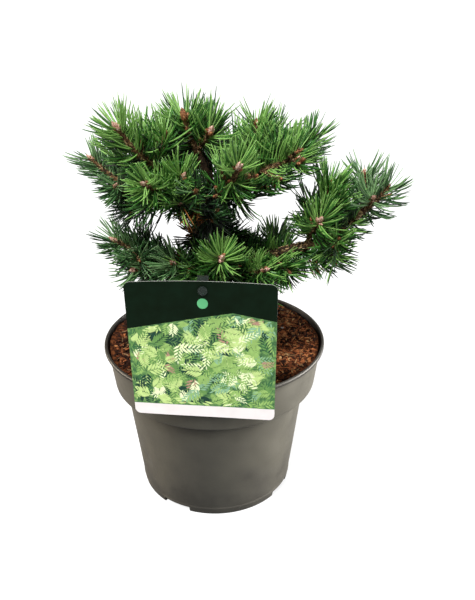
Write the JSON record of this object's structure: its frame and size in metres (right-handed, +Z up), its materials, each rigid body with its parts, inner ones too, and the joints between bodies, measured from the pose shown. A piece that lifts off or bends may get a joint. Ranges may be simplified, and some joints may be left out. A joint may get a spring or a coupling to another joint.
{
  "type": "potted mugo pine",
  "caption": "Young mugo pine with a short leaning trunk, spreading boughs and dense tufts of long needles, in a tapered round nursery pot with a picture card on a stake.",
  "frame": {"origin": "centre of the pot's flat underside", "axes": "+Z up along the pot's axis, -Y towards the front, where the picture card stands, +X to the right of the card"},
  "size_m": [0.322, 0.2275, 0.4123],
  "materials": {
    "pot": "warm dark grey moulded plastic with a satin sheen",
    "soil": "reddish-brown bark and fibre mulch, matt",
    "bark": "rough scaly brown bark, matt",
    "needles": "green needles with a soft sheen",
    "card": "printed card, dark green over a light picture, slight gloss",
    "stake": "translucent bluish-grey plastic"
  },
  "bodies": {
    "root": {"pot": "pot", "soil": "soil", "picture_card": "card", "card_stake": "stake", "trunk": "bark", "upper_left_bough": "bark", "upper_left_outer_bough": "bark", "upper_front_left_bough": "bark", "upper_front_bough": "bark", "upper_front_right_bough": "bark", "upper_right_bough": "bark", "upper_back_right_bough": "bark", "upper_back_bough": "bark", "upper_back_left_bough": "bark", "lower_left_bough": "bark", "lower_front_left_bough": "bark", "lower_front_bough": "bark", "lower_front_right_bough": "bark", "lower_right_bough": "bark", "lower_back_left_bough": "bark", "lower_back_right_bough": "bark", "lower_right_outer_bough": "bark", "top_needles": "needles", "upper_left_needles": "needles", "upper_left_outer_needles": "needles", "upper_front_left_needles": "needles", "upper_front_needles": "needles", "upper_front_right_needles": "needles", "upper_right_needles": "needles", "upper_back_right_needles": "needles", "upper_back_needles": "needles", "upper_back_left_needles": "needles", "lower_left_needles": "needles", "lower_front_left_needles": "needles", "lower_front_needles": "needles", "lower_front_right_needles": "needles", "lower_right_middle_needles": "needles", "lower_right_tip_needles": "needles", "lower_back_left_needles": "needles", "lower_back_right_needles": "needles", "trunk_needles": "needles", "lower_right_inner_needles": "needles", "lower_right_outer_needles": "needles"}
  },
  "joints": []
}
